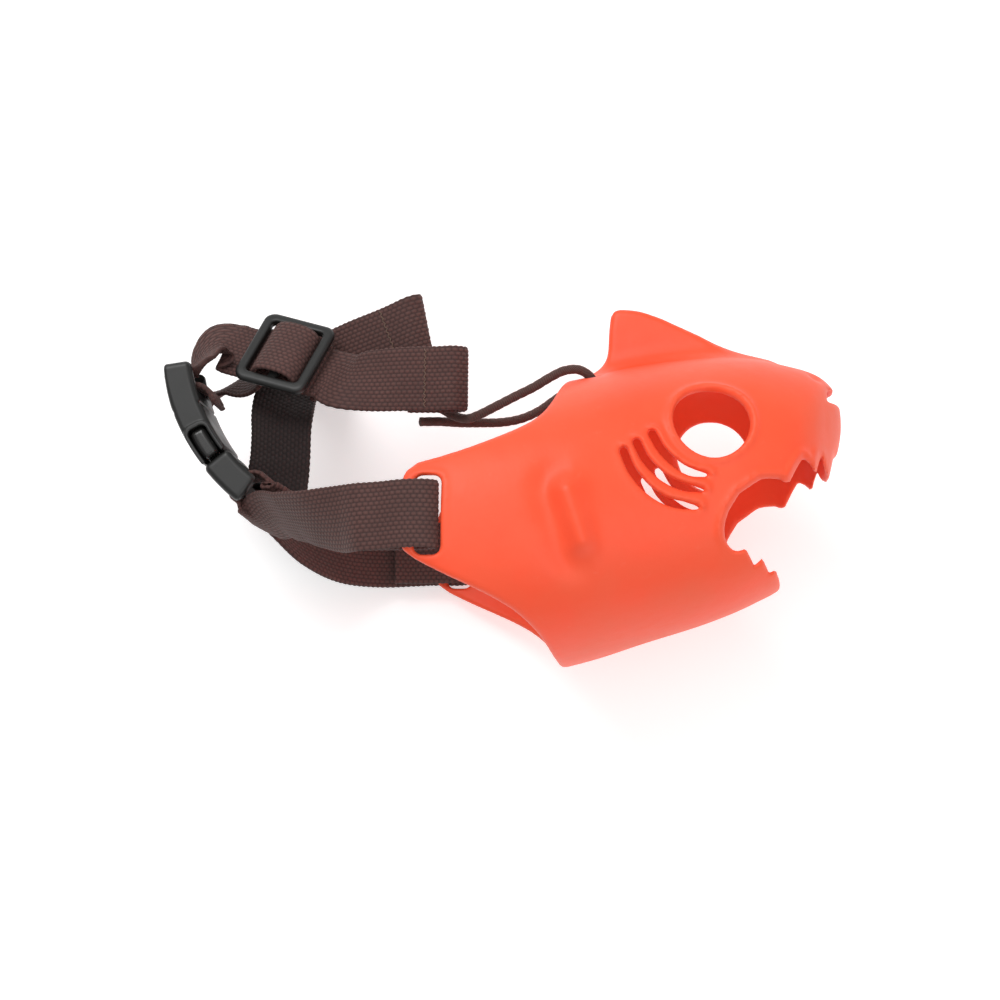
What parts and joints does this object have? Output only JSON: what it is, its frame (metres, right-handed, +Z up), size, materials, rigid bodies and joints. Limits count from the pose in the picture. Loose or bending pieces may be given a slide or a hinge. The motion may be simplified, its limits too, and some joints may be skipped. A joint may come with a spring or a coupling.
{
  "type": "basket muzzle",
  "caption": "Soft moulded dog muzzle shaped like an open-mouthed shark's head, with webbing neck straps, side-release buckle, strap slider and tie cord.",
  "frame": {"origin": "on the surface the muzzle lies on, under the middle of its box without the cord", "axes": "+X from the buckle to the nose, +Y towards the fin, +Z up; the muzzle lies on its left cheek"},
  "size_m": [0.1942, 0.1088, 0.1099],
  "materials": {
    "silicone": "satin soft-touch moulding",
    "webbing": "ribbed nylon webbing",
    "cord": "braided cord",
    "thread": "sewing thread",
    "slider_plastic": "moulded, slightly worn",
    "buckle_plastic": "moulded satin",
    "buckle_arm_plastic": "moulded gloss"
  },
  "bodies": {
    "muzzle": {"muzzle_shell": "silicone", "side_strap_near": "webbing", "side_strap_far": "webbing", "buckle_loop": "webbing", "head_strap_front": "webbing", "head_strap_rear": "webbing", "strap_tail": "webbing", "buckle_male": "buckle_plastic", "tie_cord": "cord", "stitch_near_tab_a": "thread", "stitch_near_tab_b": "thread", "stitch_far_tab_a": "thread", "stitch_far_tab_b": "thread", "stitch_junction": "thread", "stitch_fold": "thread", "stitch_hem": "thread"},
    "buckle_top": {"buckle_female": "buckle_plastic"},
    "arm_near": {"buckle_arm_near": "buckle_arm_plastic"},
    "arm_far": {"buckle_arm_far": "buckle_arm_plastic"},
    "slider": {"slider_frame": "slider_plastic", "slider_bridge": "webbing"}
  },
  "joints": [
    {"name": "buckle_release", "type": "hinge", "parent": "muzzle", "child": "buckle_top", "pos_m": [-0.03728, 0.03896, 0.06092], "axis": [0, 0, -1], "range_deg": [0, 17], "deforming": ["buckle_loop"]},
    {"name": "arm_press_near", "type": "hinge", "parent": "muzzle", "child": "arm_near", "pos_m": [-0.08183, 0.0034, 0.06952], "axis": [-0.7815, -0.6239, 0], "range_deg": [0, 7], "stiffness_Nm_per_rad": 0.05},
    {"name": "arm_press_far", "type": "hinge", "parent": "muzzle", "child": "arm_far", "pos_m": [-0.08183, 0.0034, 0.05232], "axis": [0.7815, 0.6239, 0], "range_deg": [0, 7], "stiffness_Nm_per_rad": 0.05},
    {"name": "slider_adjust", "type": "slide", "parent": "muzzle", "child": "slider", "axis": [0.9436, -0.2766, 0.1818], "range_m": [-0.003, 0.003]}
  ],
  "couplings": [
    {"joint": "arm_press_far", "follows": "arm_press_near", "ratio": 1}
  ]
}
